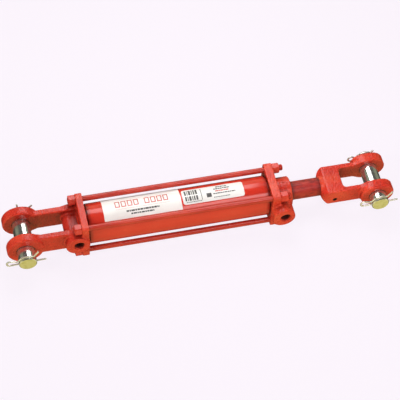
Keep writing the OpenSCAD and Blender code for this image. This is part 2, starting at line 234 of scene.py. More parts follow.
class Paint(Nodes):
    """A Principled material."""

    def __init__(self, name, roughness, metallic=0.0):
        self.material = bpy.data.materials.new(name)
        self.material.use_nodes = True
        super().__init__(self.material.node_tree, "Object")
        self.shader = self.tree.nodes["Principled BSDF"]
        self.shader.inputs["Roughness"].default_value = roughness
        self.shader.inputs["Metallic"].default_value = metallic

    def colour(self, value):
        self.feed(self.shader.inputs["Base Color"], value)

    def roughness(self, value, lowest, highest):
        """Roughness that follows a value between two limits."""
        self.feed(self.shader.inputs["Roughness"], self.spread(value, 0.0, 1.0, lowest, highest))

    def bump(self, *heights):
        """Chained bumps; each is (height socket, height in metres)."""
        before = None
        for value, depth in heights:
            node = self.add("Bump")
            node.inputs["Strength"].default_value = 1.0
            node.inputs["Distance"].default_value = depth
            self.feed(node.inputs["Height"], value)
            if before:
                self.feed(node.inputs["Normal"], before)
            before = node.outputs["Normal"]
        self.feed(self.shader.inputs["Normal"], before)


RED = (0.60, 0.034, 0.019)
RED_BARS = (0.46, 0.028, 0.016)
RED_DEEP = (0.30, 0.011, 0.008)
RED_THIN = (0.69, 0.072, 0.034)
# The last colour is the dark red of painted shade in hollows and seams and at the barrel and rod ends.
RED_PAINTED_SHADE = (0.11, 0.006, 0.005)


def painted_shade_ends(p, colour, start, end, share):
    """Paint darkened towards a dark red before a start and past an end, a painted shade next to the parts
    there; each is (X, width of its soft edge).
    """
    before = p.math("SUBTRACT", 1.0, p.across("X", *start))
    both = p.math("MAXIMUM", before, p.across("X", *end))
    return p.mix(p.math("MULTIPLY", both, share), colour, RED_PAINTED_SHADE)


def red_enamel(name, gloss, texture, mottle, red=RED, cast=False, ends=False):
    """Glossy orange-red enamel: its roughness, the height of its unevenness, and how blotchy it is.

    On a casting painted shade darkens its hollows, its seams with the parts that meet it and its walls closed
    in by other walls; with ends it is darker next to both flanges, also painted shade.
    """
    p = Paint(name, gloss)
    cloud = p.noise(38 * MM, 3.0)
    pale, dark = ([base + mottle * (c - base) for c, base in zip(tone, red)]
                  for tone in (RED_THIN, tuple(0.8 * c for c in red)))
    colour = p.ramp(cloud, [(0.30, pale), (0.52, red), (0.74, dark)])
    speck = p.noise(2.4 * MM, 5.0, rough=0.65)
    colour = p.mix(p.ramp(speck, [(0.52, 0.0), (0.80, mottle)]), colour, RED_DEEP)
    if cast:
        # Painted shade in hollows, at seams and on closed-in walls; paler thin paint on edges.
        for layer, stops, tone in (("cavity", [(0.13, 0.0), (0.60, 0.62)], RED_PAINTED_SHADE),
                                   ("edge", [(0.10, 0.0), (0.8, 0.6)], RED_THIN),
                                   ("walled", [(0.45, 0.0), (0.70, 0.45)], RED_PAINTED_SHADE)):
            colour = p.mix(p.ramp(p.attribute(layer), stops), colour, tone)
        p.shader.inputs["Specular IOR Level"].default_value = 0.34
    if ends:
        # Painted shade on the barrel next to both flanges.
        colour = painted_shade_ends(p, colour, (BARREL_X0 + 2.5 * MM, 6 * MM), (BARREL_X1 - 2.5 * MM, 6 * MM), 0.75)
    p.colour(colour)
    p.roughness(p.noise(9 * MM, 4.0), gloss * 0.75, gloss * 1.35)
    p.bump((p.noise(3.8 * MM, 4.0), texture * 2.4), (p.noise(1.3 * MM, 2.0), texture))
    return p.material


def rod_paint(name):
    """Thin, blotchy deep-red paint brushed over the chromed rod, with painted shade darkening both ends of
    what it covers, by the gland and the clevis.
    """
    p = Paint(name, 0.30)
    long_blots = p.noise(5 * MM, 5.0, stretch=(2.2, 1, 1), rough=0.62)
    colour = p.ramp(long_blots, [(0.30, (0.17, 0.008, 0.007)), (0.50, (0.38, 0.019, 0.014)),
                                 (0.72, (0.52, 0.042, 0.028))])
    # Painted shade on the rod next to the gland and the clevis.
    p.colour(painted_shade_ends(p, colour, (GLAND_X + 4 * MM, 5 * MM), (CLEVIS_X0 - 4 * MM, 7 * MM), 0.8))
    p.roughness(p.noise(4 * MM, 5.0), 0.34, 0.62)
    p.bump((p.noise(6 * MM, 4.0, stretch=(2, 1, 1)), 0.16 * MM), (p.noise(1.2 * MM, 3.0), 0.03 * MM))
    return p.material


def zinc_plate(name, tint, gloss, metallic):
    """Bright zinc plating over turned steel, lightly clouded and scuffed."""
    p = Paint(name, gloss, metallic)
    cloud = p.noise(11 * MM, 5.0)
    colour = p.ramp(cloud, [(0.3, tuple(0.78 * c for c in tint)), (0.5, tint),
                            (0.7, tuple(1.05 * c for c in tint))])
    scratch = p.noise(0.9 * MM, 6.0, stretch=(14, 1, 1), rough=0.7)
    p.colour(p.mix(p.ramp(scratch, [(0.62, 0.0), (0.8, 0.4)]), colour, (0.30, 0.31, 0.28)))
    p.roughness(p.noise(2.4 * MM, 6.0, rough=0.7), gloss * 0.6, gloss * 1.7)
    p.bump((p.noise(0.5 * MM, 3.0, stretch=(5, 1, 5)), 0.004 * MM), (p.noise(4 * MM, 3.0), 0.02 * MM))
    return p.material


def coating(name, gloss, cloud, tones, blots, limits, *grains, metallic=0.0):
    """Tones over a cloud, roughness between limits over blots, and bumps.

    The cloud, the blots and each grain are arguments of noise; a grain ends with its height.
    """
    p = Paint(name, gloss, metallic)
    p.colour(p.ramp(p.noise(*cloud), tones))
    p.roughness(p.noise(*blots), *limits)
    p.bump(*[(p.noise(*grain), height) for *grain, height in grains])
    return p.material


def label_film(name, colour, shade):
    """Satin printed film on the barrel."""
    return coating(name, 0.32, (26 * MM, 4.0), [(0.3, shade), (0.6, colour)], (3 * MM, 3.0),
                   (0.26, 0.42), (7 * MM, 3.0, 0.02 * MM), (0.7 * MM, 2.0, 0.004 * MM))


def ink(name, colour):
    """Printing ink, thinner in places."""
    thin = tuple(min(1.0, c * 1.6 + 0.05) for c in colour)
    return coating(name, 0.4, (0.8 * MM, 5.0, (1, 1, 1), 0.7), [(0.35, colour), (0.8, thin)],
                   (2 * MM, 3.0), (0.34, 0.5), (0.6 * MM, 2.0, 0.004 * MM))


def turned(name, colour):
    """Machined steel or bronze with fine turning marks round the X axis."""
    return coating(name, 0.3, (8 * MM, 4.0), [(0.35, colour), (0.7, tuple(0.832 * c for c in colour))],
                   (3 * MM, 4.0), (0.21, 0.45), (0.35 * MM, 3.0, (1, 40, 40), 0.006 * MM), metallic=1.0)


def moulded(name, colour, gloss, grain):
    """Rubber, plastic or woven fibre ring."""
    dull = tuple(0.79 * c + 0.007 for c in colour)
    return coating(name, gloss, (3 * MM, 5.0), [(0.35, colour), (0.75, dull)], (2 * MM, 4.0),
                   (gloss * 0.8, gloss * 1.2), (grain, 3.0, 0.01 * MM))


def port_paint(name):
    """Dark machined threads with red overspray that fades from the mouth inwards."""
    p = Paint(name, 0.45, 0.35)
    deep = p.attribute("depth")
    reach = p.math("ADD", deep, p.math("MULTIPLY", p.math("SUBTRACT", p.noise(3 * MM, 4.0), 0.5), 0.5))
    p.colour(p.ramp(reach, [(0.02, RED), (0.16, (0.16, 0.008, 0.006)), (0.55, (0.035, 0.012, 0.010))]))
    p.roughness(p.noise(2 * MM, 4.0), 0.35, 0.6)
    p.bump((p.noise(0.7 * MM, 3.0), 0.01 * MM))
    return p.material


CAST_RED = red_enamel("cast_red_enamel", 0.26, 0.11 * MM, 0.95, cast=True)
TUBE_RED = red_enamel("tube_red_enamel", 0.12, 0.003 * MM, 0.2, ends=True)
BAR_RED = red_enamel("bar_red_enamel", 0.20, 0.006 * MM, 0.4, red=RED_BARS)
NUT_RED = red_enamel("nut_red_enamel", 0.25, 0.015 * MM, 0.7)
ROD_RED = rod_paint("rod_red_enamel")
ZINC = zinc_plate("zinc_plate", (0.75, 0.76, 0.73), 0.14, 0.93)
WIRE_ZINC = zinc_plate("wire_zinc", (0.84, 0.83, 0.77), 0.20, 0.70)
PIN_END = coating("yellow_passivate", 0.42, (5 * MM, 5.0),
                  [(0.3, (0.62, 0.60, 0.24)), (0.5, (0.72, 0.70, 0.32)), (0.72, (0.78, 0.75, 0.42))],
                  (1.5 * MM, 5.0), (0.34, 0.56), (0.6 * MM, 4.0, 0.02 * MM), metallic=0.55)
PORT_PAINT = port_paint("port_paint")
CHROME = coating("hard_chrome", 0.09, (20 * MM, 4.0),
                 [(0.3, (0.55, 0.60, 0.66)), (0.7, (0.64, 0.69, 0.75))],
                 (1.2 * MM, 5.0, (0.3, 1, 1)), (0.05, 0.15),
                 (0.4 * MM, 3.0, (0.2, 3, 3), 0.0008 * MM), metallic=1.0)
STEEL = turned("turned_steel", (0.56, 0.57, 0.58))
BRONZE = turned("turned_bronze", (0.60, 0.42, 0.20))
RUBBER = moulded("black_rubber", (0.022, 0.022, 0.024), 0.6, 0.6 * MM)
PTFE = moulded("white_ptfe", (0.82, 0.82, 0.80), 0.45, 0.5 * MM)
FIBRE = moulded("woven_fibre", (0.46, 0.35, 0.20), 0.7, 0.35 * MM)
OXIDE = coating("black_oxide", 0.35, (1.5 * MM, 4.0),
                [(0.3, (0.03, 0.03, 0.032)), (0.7, (0.07, 0.065, 0.06))],
                (1.0 * MM, 4.0), (0.28, 0.5), (0.4 * MM, 3.0, 0.006 * MM), metallic=0.9)
NAME_FILM = label_film("name_film", (0.84, 0.81, 0.79), (0.78, 0.74, 0.72))
DATA_FILM = label_film("data_film", (0.80, 0.78, 0.76), (0.74, 0.71, 0.69))
BLACK_INK = ink("black_ink", (0.035, 0.03, 0.03))
RED_INK = ink("red_ink", (0.46, 0.045, 0.035))

# -------- mesh building


def scene_object(name, data):
    """A new object in the scene."""
    made = bpy.data.objects.new(name, data)
    bpy.context.scene.collection.objects.link(made)
    return made


def mesh_object(name, verts, faces):
    """A new mesh object in the scene."""
    mesh = bpy.data.meshes.new(name)
    mesh.from_pydata([tuple(v) for v in verts], [], [tuple(int(i) for i in f) for f in faces])
    mesh.validate()
    return scene_object(name, mesh)


def add_piece(name, verts, faces, materials, body, slot, replaced=(), slots=None, sharp=35.0):
    """A smooth-shaded mesh piece with sharp edges above an angle, riding on a body."""
    piece = mesh_object(name, verts, faces)
    mesh = piece.data
    for material in materials:
        mesh.materials.append(material)
    if slots is not None:
        mesh.polygons.foreach_set("material_index", np.array(slots, np.int32))
    mesh.set_sharp_from_angle(angle=math.radians(sharp))
    mesh.update()
    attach(piece, body)
    if replaced:
        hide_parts(*replaced)
    return piece


def grid_faces(rows, columns, closed_rows=False, first=0):
    """Quads over rows of points, each row a closed ring of that many columns."""
    faces = []
    for i in range(rows if closed_rows else rows - 1):
        a, b = i * columns, ((i + 1) % rows) * columns
        for j in range(columns):
            k = (j + 1) % columns
            faces.append((first + a + j, first + a + k, first + b + k, first + b + j))
    return faces


def bend(p, q, r, steps):
    """Smooth bend from p to r drawn towards q."""
    p, q, r = (np.array(v, float) for v in (p, q, r))
    return [(1 - t) ** 2 * p + 2 * t * (1 - t) * q + t * t * r for t in np.linspace(0, 1, steps + 1)]


def soften(profile, radius, steps=4, closed=False):
    """A polyline with each corner rounded to about that radius, or less where its sides are short."""
    pts = [np.array(p, float) for p in profile]
    out = [] if closed else [pts[0]]
    span = range(len(pts)) if closed else range(1, len(pts) - 1)
    for i in span:
        before, at, after = pts[i - 1], pts[i], pts[(i + 1) % len(pts)]
        a, b = before - at, after - at
        reach = min(radius, 0.45 * np.linalg.norm(a), 0.45 * np.linalg.norm(b))
        p, q = at + a / np.linalg.norm(a) * reach, at + b / np.linalg.norm(b) * reach
        out += bend(p, at, q, steps)
    return out if closed else out + [pts[-1]]


def round_angles(columns):
    """Even angles round a circle."""
    return np.arange(columns) * 2 * math.pi / columns


def ring_points(x, radius, columns):
    """A ring of points round the X axis; radius is a number or one value per column."""
    angle = round_angles(columns)
    radius = np.broadcast_to(radius, (columns,))
    return np.stack([np.full(columns, x), radius * np.cos(angle), radius * np.sin(angle)], 1)


def closed_mesh(rows):
    """Points and faces of rings of points, the last joined to the first."""
    return outward(np.concatenate(rows), grid_faces(len(rows), len(rows[0]), closed_rows=True))


def capped_mesh(rows):
    """Points and faces of rings of points with a flat fan at each end."""
    columns = len(rows[0])
    verts = np.concatenate([*rows, [rows[0].mean(0)], [rows[-1].mean(0)]])
    faces = [f[::-1] for f in grid_faces(len(rows), columns)]
    start, end = len(verts) - 2, len(verts) - 1
    last = (len(rows) - 1) * columns
    for j in range(columns):
        k = (j + 1) % columns
        faces.append((start, j, k))
        faces.append((end, last + k, last + j))
    return outward(verts, faces)


def flipped(verts, faces):
    """True if a closed mesh's faces look inwards."""
    verts = np.asarray(verts)
    volume = 0.0
    for f in faces:
        for i in range(1, len(f) - 1):
            volume += np.dot(verts[f[0]], np.cross(verts[f[i]], verts[f[i + 1]]))
    return volume < 0


def outward(verts, faces):
    """The same mesh with its faces turned to look outwards."""
    return (verts, [tuple(f)[::-1] for f in faces]) if flipped(verts, faces) else (verts, faces)


def joined(parts):
    """Several (verts, faces) meshes as one."""
    verts, faces, first = [], [], 0
    for v, f in parts:
        verts.append(np.asarray(v))
        faces += [tuple(i + first for i in face) for face in f]
        first += len(v)
    return np.concatenate(verts), faces


def thread_radius(x, angle, minor, major, pitch):
    """Radius of a rounded vee thread at places along and round the X axis."""
    turn = (x / pitch - angle / (2 * math.pi)) % 1.0
    ridge = 1 - np.abs(2 * turn - 1)
    ridge = ridge * ridge * (3 - 2 * ridge)
    return minor + (major - minor) * ridge


# -------- castings as blended distance fields


def fillet(a, b, radius):
    """Union of two distance fields with a round fillet where they meet."""
    rounded = np.hypot(np.maximum(radius - a, 0), np.maximum(radius - b, 0))
    return np.maximum(radius, np.minimum(a, b)) - rounded


def common(a, b, radius):
    """Intersection of two distance fields with a rounded edge."""
    rounded = np.hypot(np.maximum(radius + a, 0), np.maximum(radius + b, 0))
    return np.minimum(-radius, np.maximum(a, b)) + rounded


def less(a, b, radius):
    """Field a with b cut from it and the edge of the cut rounded."""
    return common(a, -b, radius)


def between(value, lowest, highest):
    """Distance field of a slab."""
    return np.maximum(lowest - value, value - highest)


def disc_y(p, x, y0, y1, radius, edge):
    """Round disc or bar along Y."""
    return common(np.hypot(p[:, 0] - x, p[:, 2]) - radius, between(p[:, 1], y0, y1), edge)


def disc_x(p, x0, x1, radius, edge):
    """Round disc or bar on the X axis."""
    return common(np.hypot(p[:, 1], p[:, 2]) - radius, between(p[:, 0], x0, x1), edge)


def square_plate(p, span):
    """Square flange with rounded corners and softened edges."""
    q = np.abs(p[:, 1:]) - FLANGE_HALF + FLANGE_CORNER
    outline = np.linalg.norm(np.maximum(q, 0), axis=1) + np.minimum(q.max(1), 0) - FLANGE_CORNER
    return common(outline, between(p[:, 0], *span), 1.1 * MM)


def step_up(value, start, end):
    """Smooth step from 0 at start to 1 at end."""
    t = np.clip((value - start) / (end - start), 0, 1)
    return t * t * (3 - 2 * t)


def sand_waves(p):
    """Faint unevenness of a sand-cast surface, added before the machined cuts."""
    wave = np.zeros(len(p))
    for k, (length, shift) in enumerate(((9.1, 0.3), (6.3, 1.7), (4.4, 2.9), (3.1, 4.2), (2.3, 5.1))):
        turn = k * 1.3
        along = np.stack([math.cos(turn) * p[:, 0] + math.sin(turn) * p[:, 1],
                          math.cos(turn + 2) * p[:, 1] + math.sin(turn + 2) * p[:, 2],
                          math.cos(turn + 4) * p[:, 2] + math.sin(turn + 4) * p[:, 0]], 1)
        wave += np.sin(along / (length * MM) * 2 * math.pi + shift).prod(1)
    return SAND_HEIGHT * wave / 3


def from_tie(p):
    """Distance from the axis of the nearest tie rod."""
    return np.hypot(np.abs(p[:, 1]) - TIE_AT, np.abs(p[:, 2]) - TIE_AT)


def tie_holes(p, shape, flange):
    """Cuts the four tie-rod holes through a flange."""
    hole = from_tie(p) - TIE_THREAD_R - 0.25 * MM
    hole = np.maximum(hole, between(p[:, 0], flange[0] - 4 * MM, flange[1] + 4 * MM))
    return less(shape, hole, 0.6 * MM)


def port_cut(p, shape, x, mouth_y, depth):
    """Cuts a port hole open to -Y, with a small lead-in at its mouth."""
    hole = np.hypot(p[:, 0] - x, p[:, 2]) - PORT_R - PORT_PLAY
    return less(shape, np.maximum(hole, p[:, 1] - mouth_y - depth), 1.0 * MM)


def base_cap_field(p):
    """Base casting: two arms with eyes, web, port boss, flange and spigot."""
    side = np.abs(p[:, 1])
    eye = common(np.hypot(p[:, 0], p[:, 2]) - BASE_EYE_R, between(side, *BASE_EYE_Y), 2.4 * MM)
    flare = BASE_ARM_Y[1] + 2.2 * MM * step_up(p[:, 0], 56 * MM, 70 * MM)
    arm = between(side, BASE_ARM_Y[0], flare)
    arm = common(arm, between(p[:, 0], 8 * MM, BASE_FLANGE[0] + SINK), 1.5 * MM)
    half = BASE_ARM_HALF + 1.2 * MM * step_up(p[:, 0], 62 * MM, 80 * MM)
    arm = common(arm, np.abs(p[:, 2]) - half, CAST_EDGE)
    shape = fillet(eye, arm, 3.5 * MM)
    web = np.hypot(np.minimum(p[:, 0] - WEB_X - WEB_R, 0), p[:, 2]) - WEB_R
    web = np.maximum(web, np.maximum(side - BASE_ARM_Y[0] - SINK, p[:, 0] - BASE_FLANGE[0] - SINK))
    shape = fillet(shape, web, 3 * MM)
    boss = disc_y(p, BASE_BOSS_X, BASE_PORT_Y, -BASE_ARM_Y[0] - SINK, PORT_BOSS_R, CAST_EDGE)
    shape = fillet(shape, boss, CAST_ROOT)
    shape = fillet(shape, square_plate(p, BASE_FLANGE), CAST_ROOT)
    spigot = disc_x(p, BASE_FLANGE[1] - SINK, high("base_cap")[0], BORE_R - SPIGOT_PLAY, 0.8 * MM)
    shape = fillet(shape + sand_waves(p), spigot, 0.6 * MM)
    shape = less(shape, np.hypot(p[:, 0], p[:, 2]) - EYE_HOLE_R, 0.8 * MM)
    shape = port_cut(p, shape, BASE_PORT_X, BASE_PORT_Y, PORT_DEEP)
    bore = disc_x(p, BARREL_X0 + MM, BARREL_X0 + SPIGOT_BORE_LONG, SPIGOT_BORE_R, 0.5 * MM)
    shape = less(shape, bore, 0.6 * MM)
    return tie_holes(p, shape, BASE_FLANGE)


def head_field(p):
    """Rod-end casting: flange, gland, port boss and spigot."""
    shape = square_plate(p, HEAD_FLANGE)
    gland = disc_x(p, HEAD_FLANGE[0] + SINK, GLAND_X, GLAND_R, CAST_EDGE)
    boss = disc_y(p, HEAD_BOSS_X, HEAD_PORT_Y, HEAD_BOSS_ROOT_Y, PORT_BOSS_R, CAST_EDGE)
    boss = common(boss, HEAD_FLANGE[0] - p[:, 0], 1.1 * MM)
    shape = fillet(fillet(shape, gland, 2.2 * MM), boss, CAST_ROOT)
    spigot = disc_x(p, low("rod_end_head")[0], HEAD_FLANGE[0] + SINK, BORE_R - SPIGOT_PLAY, 0.8 * MM)
    shape = fillet(shape + sand_waves(p), spigot, 0.6 * MM)
    bore = np.hypot(p[:, 1], p[:, 2])
    shape = less(shape, bore - ROD_R - 0.4 * MM, 0.6 * MM)
    shape = less(shape, np.maximum(bore - ROD_R - 3.7 * MM, GLAND_X - 5 * MM - p[:, 0]), 0.6 * MM)
    shape = port_cut(p, shape, HEAD_PORT_X, HEAD_PORT_Y, PORT_DEEP)
    return tie_holes(p, shape, HEAD_FLANGE)


def clevis_field(p):
    """Rod clevis: block with sloped back edges, collar for the rod, two arms, and two stretched eyes."""
    side, height = np.abs(p[:, 1]), np.abs(p[:, 2])
    body = common(between(p[:, 0], CLEVIS_X0, CLEVIS_PIN_X), side - CLEVIS_HALF_W, CLEVIS_CORNER)
    body = common(body, height - CLEVIS_HALF_H, 1.6 * MM)
    back = 0.72 * (height - CLEVIS_HALF_H) - 0.69 * (p[:, 0] - CLEVIS_X0 - CLEVIS_SLOPE)
    body = common(body, back, 1.2 * MM)
    collar = disc_x(p, CLEVIS_X0, CLEVIS_X0 + 20 * MM, ROD_R, 0.3 * MM)
    body = fillet(body, collar, 1.5 * MM)
    along = np.maximum(np.abs(p[:, 0] - CLEVIS_PIN_X) - CLEVIS_STRETCH, 0)
    eye = common(np.hypot(along, p[:, 2]) - CLEVIS_EYE_R, side - CLEVIS_EYE_Y, 3.2 * MM)
    shape = fillet(body, eye, 3.5 * MM)
    gap = common(side - CLEVIS_GAP, CLEVIS_SLOT_X - p[:, 0], 5 * MM)
    shape = less(shape, gap, 1.2 * MM) + sand_waves(p)
    shape = less(shape, np.hypot(p[:, 0] - CLEVIS_PIN_X, p[:, 2]) - EYE_HOLE_R, 0.8 * MM)
    shape = less(shape, disc_x(p, CLEVIS_X0 - 5 * MM, CLEVIS_X0 + 27 * MM, ROD_NECK_R + 0.15 * MM, 0.2 * MM),
                 0.2 * MM)
    screw = np.hypot(p[:, 0] - SCREW[0], p[:, 2] - SCREW[2]) - SCREW_R - 0.15 * MM
    return less(shape, np.maximum(screw, p[:, 1] + 10 * MM), 0.7 * MM)


def neighbours(p):
    """Field of the plain pieces that meet the castings: barrel, rod, nuts, tie rods and pins; the castings
    get painted shade near them.
    """
    shape = disc_x(p, BARREL_X0, BARREL_X1, BARREL_R, MM)
    shape = np.minimum(shape, disc_x(p, GLAND_X, CLEVIS_X0, ROD_R, MM))
    for radius, x0, x1 in ((NUT_FLAT_R, low("base_nuts")[0], BASE_FLANGE[0]),
                           (TIE_SHANK_R, BASE_FLANGE[1], HEAD_FLANGE[0]),
                           (NUT_FLAT_R, HEAD_FLANGE[1], high("head_nuts")[0])):
        shape = np.minimum(shape, np.maximum(from_tie(p) - radius, between(p[:, 0], x0, x1)))
    for pin_x in (0.0, CLEVIS_PIN_X):
        shape = np.minimum(shape, np.hypot(p[:, 0] - pin_x, p[:, 2]) - PIN_R + 1.5 * MM)
    return shape


def slope(field, p, h=0.05 * MM):
    """Gradient of a field at points."""
    steps = np.eye(3) * h
    return np.stack([field(p + s) - field(p - s) for s in steps], 1) / (2 * h)


def settle(field, verts, limit):
    """Moves points onto the field's zero surface."""
    for _ in range(3):
        g = slope(field, verts)
        size = np.maximum((g * g).sum(1), 0.05)
        move = (field(verts) / size)[:, None] * g
        far = np.maximum(np.linalg.norm(move, axis=1) / limit, 1)
        verts = verts - move / far[:, None]
    return verts


def skin(field, lowest, highest, step):
    """Closed quad mesh of a field's zero surface, by one point in each grid cell that the surface crosses."""
    lowest, highest = np.array(lowest) - 2 * step, np.array(highest) + 2 * step
    count = np.ceil((highest - lowest) / step).astype(int) + 1
    axes = [lowest[i] + step * np.arange(count[i]) for i in range(3)]
    points = np.stack(np.meshgrid(*axes, indexing="ij"), -1).reshape(-1, 3)
    inside = (field(points) < 0).reshape(count)
    corners = sum(inside[i:count[0] - 1 + i, j:count[1] - 1 + j, k:count[2] - 1 + k].astype(int)
                  for i in (0, 1) for j in (0, 1) for k in (0, 1))
    crossed = (corners > 0) & (corners < 8)
    number = np.full(crossed.shape, -1)
    number[crossed] = np.arange(crossed.sum())
    verts = lowest + step * (np.argwhere(crossed) + 0.5)
    quads = []
    for a in range(3):
        b, c = (a + 1) % 3, (a + 2) % 3
        near = np.take(inside, range(count[a] - 1), axis=a)
        far = np.take(inside, range(1, count[a]), axis=a)
        edge = np.argwhere(near != far)
        ring = []
        for db, dc in ((-1, -1), (0, -1), (0, 0), (-1, 0)):
            cell = edge.copy()
            cell[:, b] += db
            cell[:, c] += dc
            ring.append(number[tuple(cell.T)])
        ring = np.stack(ring, 1)
        out = near[tuple(edge.T)]
        quads.append(np.where(out[:, None], ring, ring[:, ::-1]))
    quads = np.concatenate(quads)
    verts = settle(field, verts, step)
    for _ in range(2):
        verts = settle(field, relaxed(verts, quads), step)
    return verts, quads


def relaxed(verts, quads):
    """Each point half way to the mean of its neighbours."""
    total, count = np.zeros_like(verts), np.zeros(len(verts))
    for i in range(4):
        a, b = quads[:, i], quads[:, (i + 1) % 4]
        np.add.at(total, a, verts[b])
        np.add.at(total, b, verts[a])
        np.add.at(count, a, 1)
        np.add.at(count, b, 1)
    return 0.5 * verts + 0.5 * total / count[:, None]


def set_attribute(mesh, name, values):
    layer = mesh.attributes.new(name, "FLOAT", "POINT")
    layer.data.foreach_set("value", values.astype(np.float32))


def casting(name, field, node, body):
    """A cast piece from its field, with attributes that say where painted shade darkens it and where its
    paint is thin.
    """
    step = 0.8 * MM
    verts, quads = skin(field, low(node), high(node), step)
    piece = add_piece(name, verts, quads, [CAST_RED], body, "red_paint", [node], sharp=60)
    normal = slope(field, verts)
    normal /= np.linalg.norm(normal, axis=1)[:, None]
    closed = lambda p: np.minimum(field(p), neighbours(p))
    above = lambda shape, reach: np.clip(1 - shape(verts + normal * reach) / reach, 0, 1)
    below = lambda reach: np.clip(1 + field(verts - normal * reach) / reach, 0, 1)
    # Painted shade: darker where the casting or the parts that meet it lie close outside the surface.
    set_attribute(piece.data, "cavity", sum(above(closed, reach * MM) for reach in (1.5, 4, 9)) / 3)
    set_attribute(piece.data, "edge", (below(1.5 * MM) + below(4 * MM)) / 2)
    # Painted shade on walls that other walls of the casting close in.
    set_attribute(piece.data, "walled", above(field, 24 * MM))
    piece.data.normals_split_custom_set_from_vertices(normal.astype(float))
    return piece


casting("base_cap_casting", base_cap_field, "base_cap", "cylinder")
casting("rod_end_head_casting", head_field, "rod_end_head", "cylinder")
casting("rod_clevis_casting", clevis_field, "rod_clevis", "rod")

# -------- barrel, tie rods and nuts


def barrel():
    """Barrel tube with softened ends."""
    profile = soften([(BARREL_X0, BORE_R + 0.1 * MM), (BARREL_X0, BARREL_R),
                      (BARREL_X1, BARREL_R), (BARREL_X1, BORE_R + 0.1 * MM)], 0.5 * MM, closed=True)
    verts, faces = closed_mesh([ring_points(x, r, 160) for x, r in profile])
    add_piece("barrel_tube", verts, faces, [TUBE_RED], "cylinder", "red_paint", ["barrel"])


def tie_rod(number, side_y, side_z):
    """Tie rod with a plain shank between two threaded ends."""
    node = f"tie_rod_{number}"
    columns, long_step = 40, TIE_PITCH / 8
    x0, x1 = low(node)[0], high(node)[0]
    thread_a, thread_b = BASE_FLANGE[0] + 4 * MM, HEAD_FLANGE[0] + 4 * MM
    xs = np.concatenate([np.arange(x0, thread_a, long_step),
                         np.linspace(thread_a + 2 * MM, thread_b - 2 * MM, 24),
                         np.arange(thread_b, x1 + long_step / 2, long_step)])
    angle, root, crest = round_angles(columns), TIE_THREAD_R - 0.75 * MM, TIE_THREAD_R - 0.05 * MM
    rows = []
    for x in xs:
        radius = TIE_SHANK_R
        if not thread_a < x < thread_b - 1e-6:
            chamfer = TIE_THREAD_R - 1.1 * MM + max(min(x - x0, x1 - x), 0)
            radius = np.minimum(thread_radius(x, angle, root, crest, TIE_PITCH), chamfer)
        rows.append(ring_points(x, radius, columns))
    verts, faces = capped_mesh(rows)
    verts = verts + np.array([0, side_y * TIE_AT, side_z * TIE_AT])
    add_piece(f"{node}_bar", verts, faces, [BAR_RED], "cylinder", "red_paint", [node], sharp=50)


def hexagon(angle, flat_radius):
    """Radius of a hexagon with slightly rounded corners, its corners on the Y axis."""
    power = 44.0
    total = sum(np.maximum(np.cos(angle - math.radians(30 + 60 * k)), 0) ** power for k in range(6))
    return flat_radius / total ** (1 / power)


def hex_nut(x0):
    """One nut from x0 towards +X, chamfered on both faces, with a threaded bore."""
    columns = 96
    angle = round_angles(columns)
    outline = hexagon(angle, NUT_FLAT_R)
    chamfer = 1.5 * MM
    depths = np.concatenate([np.linspace(0, chamfer, 7), np.linspace(chamfer, NUT_LONG - chamfer, 5)[1:-1],
                             np.linspace(NUT_LONG - chamfer, NUT_LONG, 7)])
    rows = []
    for d in depths:
        cone = NUT_FLAT_R - 0.35 * MM + 1.6 * min(d, NUT_LONG - d)
        rows.append(ring_points(x0 + d, np.minimum(outline, cone), columns))
    bore = TIE_THREAD_R + 0.02 * MM
    for x, r in ((x0 + NUT_LONG, bore + 0.7 * MM), (x0 + NUT_LONG - 0.7 * MM, bore),
                 (x0 + 0.7 * MM, bore), (x0, bore + 0.7 * MM)):
        rows.append(ring_points(x, r, columns))
    return closed_mesh(rows)


def nuts(name, node):
    """Four nuts, one on each tie rod."""
    verts, faces = hex_nut(low(node)[0])
    parts = [(verts + np.array([0, sy * TIE_AT, sz * TIE_AT]), faces) for sy, sz in TIE_SIDES]
    add_piece(name, *joined(parts), [NUT_RED], "cylinder", "painted_nuts", [node], sharp=28)


barrel()
for number, (side_y, side_z) in enumerate(TIE_SIDES, 1):
    tie_rod(number, side_y, side_z)
nuts("base_nuts_hex", "base_nuts")
nuts("head_nuts_hex", "head_nuts")


def port_thread(name, x, mouth_y):
    """Threaded sleeve inside a port, with its lead-in and a floor round the oil hole."""
    columns, depth = 48, PORT_DEEP - 1.5 * MM
    angle = round_angles(columns)
    rows = []
    for d in np.arange(PORT_LEAD, depth, PORT_PITCH / 8):
        radius = thread_radius(d, angle, PORT_R - 0.7 * MM, PORT_R + 0.2 * MM, PORT_PITCH)
        radius = np.maximum(radius, PORT_R + PORT_PLAY - (d - PORT_LEAD) * 1.1)
        rows.append(ring_points(d, radius, columns))
    for d, r in ((depth, 5.5 * MM), (depth + 1.2 * MM, 5.5 * MM), (depth + 1.2 * MM, PORT_R + 1.1 * MM),
                 (PORT_LEAD, PORT_R + 1.1 * MM)):
        rows.append(ring_points(d, r, columns))
    verts, faces = closed_mesh(rows)
    deep = (verts[:, 0] - PORT_LEAD) / depth
    verts = np.stack([verts[:, 1] + x, verts[:, 0] + mouth_y, verts[:, 2]], 1)
    piece = add_piece(name, *outward(verts, faces), [PORT_PAINT], "cylinder", "red_paint", sharp=50)
    set_attribute(piece.data, "depth", deep)


port_thread("base_port_thread", BASE_PORT_X, BASE_PORT_Y)
port_thread("rod_port_thread", HEAD_PORT_X, HEAD_PORT_Y)

# -------- labels


def on_barrel(x, angle, radius):
    """A point on the barrel, its angle measured from the top towards -Y."""
    return np.array([x, -radius * math.sin(angle), radius * math.cos(angle)])


